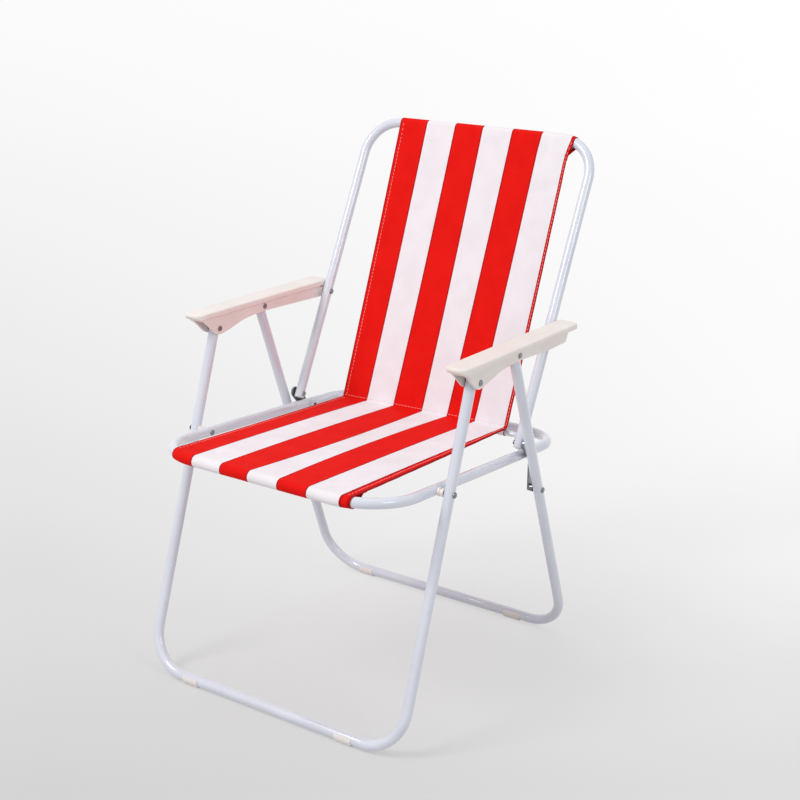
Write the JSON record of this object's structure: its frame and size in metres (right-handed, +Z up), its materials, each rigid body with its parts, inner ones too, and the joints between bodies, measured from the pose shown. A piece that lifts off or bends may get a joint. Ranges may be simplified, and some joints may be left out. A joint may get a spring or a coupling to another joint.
{
  "type": "folding chair",
  "caption": "Folding camp chair: U-shaped round-tube front and rear legs, tubular seat loop and back frame, plastic armrests and a striped cloth sling, folding flat on riveted links.",
  "frame": {"origin": "on the floor, at the middle of the overall width and depth of the open chair", "axes": "+X across the chair, to the right of someone who faces its front, +Y from the front to the back, +Z up; the chair faces -Y"},
  "size_m": [0.4828, 0.5569, 0.7492],
  "materials": {
    "white_tube": "gloss",
    "ivory_plastic": "satin",
    "plug_plastic": "satin",
    "zinc_steel": "satin",
    "cloth": "matte, red and white stripes"
  },
  "bodies": {
    "seat": {"seat_frame": "white_tube", "seat_seam_sleeve": "zinc_steel", "seat_cloth": "cloth", "seat_leg_rivet_left": "zinc_steel", "seat_leg_rivet_right": "zinc_steel", "seat_spacer_left": "ivory_plastic", "seat_spacer_right": "ivory_plastic"},
    "front_leg": {"front_leg_frame": "white_tube", "front_leg_plug_left": "plug_plastic", "front_leg_plug_right": "plug_plastic", "front_foot_pad_left": "ivory_plastic", "front_foot_pad_right": "ivory_plastic"},
    "armrest_right": {"armrest_right": "ivory_plastic", "arm_front_rivet_right": "zinc_steel", "arm_rear_rivet_right": "zinc_steel"},
    "armrest_left": {"armrest_left": "ivory_plastic", "arm_front_rivet_left": "zinc_steel", "arm_rear_rivet_left": "zinc_steel"},
    "rear_leg": {"rear_leg_frame": "white_tube", "rear_foot_pad_left": "ivory_plastic", "rear_foot_pad_right": "ivory_plastic", "leg_link_stud_left": "zinc_steel", "leg_link_stud_right": "zinc_steel"},
    "rear_link": {"crease_rod": "white_tube", "link_plate_left": "zinc_steel", "link_plate_right": "zinc_steel", "link_seat_pin_left": "zinc_steel", "link_seat_pin_right": "zinc_steel", "link_back_pin_left": "zinc_steel", "link_back_pin_right": "zinc_steel", "link_leg_button_left": "zinc_steel", "link_leg_button_right": "zinc_steel"},
    "back": {"back_frame": "white_tube", "back_cloth": "cloth", "back_plug_left": "plug_plastic", "back_plug_right": "plug_plastic", "back_arm_stud_left": "zinc_steel", "back_arm_stud_right": "zinc_steel"}
  },
  "joints": [
    {"name": "front_leg_fold", "type": "hinge", "parent": "seat", "child": "front_leg", "pos_m": [0, -0.1509, 0.3426], "axis": [1, 0, 0], "range_deg": [0, 101.27]},
    {"name": "armrest_right_pivot", "type": "hinge", "parent": "front_leg", "child": "armrest_right", "pos_m": [0, -0.1007, 0.4843], "axis": [1, 0, 0], "range_deg": [-105.43, 0]},
    {"name": "armrest_left_pivot", "type": "hinge", "parent": "front_leg", "child": "armrest_left", "pos_m": [0, -0.1007, 0.4843], "axis": [1, 0, 0], "range_deg": [-105.43, 0]},
    {"name": "rear_leg_pivot", "type": "hinge", "parent": "armrest_right", "child": "rear_leg", "pos_m": [0, 0.002, 0.4946], "axis": [1, 0, 0], "range_deg": [0, 66.57]},
    {"name": "rear_link_pivot", "type": "hinge", "parent": "seat", "child": "rear_link", "pos_m": [0, 0.0838, 0.32], "axis": [1, 0, 0], "range_deg": [-100.35, 0]},
    {"name": "back_pivot", "type": "hinge", "parent": "rear_link", "child": "back", "pos_m": [0, 0.0656, 0.341], "axis": [1, 0, 0], "range_deg": [0, 211.28]}
  ],
  "couplings": [
    {"joint": "armrest_right_pivot", "follows": "front_leg_fold", "ratio": -1.0409},
    {"joint": "armrest_left_pivot", "follows": "front_leg_fold", "ratio": -1.0409},
    {"joint": "rear_leg_pivot", "follows": "front_leg_fold", "ratio": 0.65715},
    {"joint": "rear_link_pivot", "follows": "front_leg_fold", "ratio": -0.99072},
    {"joint": "back_pivot", "follows": "front_leg_fold", "ratio": 2.0861}
  ]
}
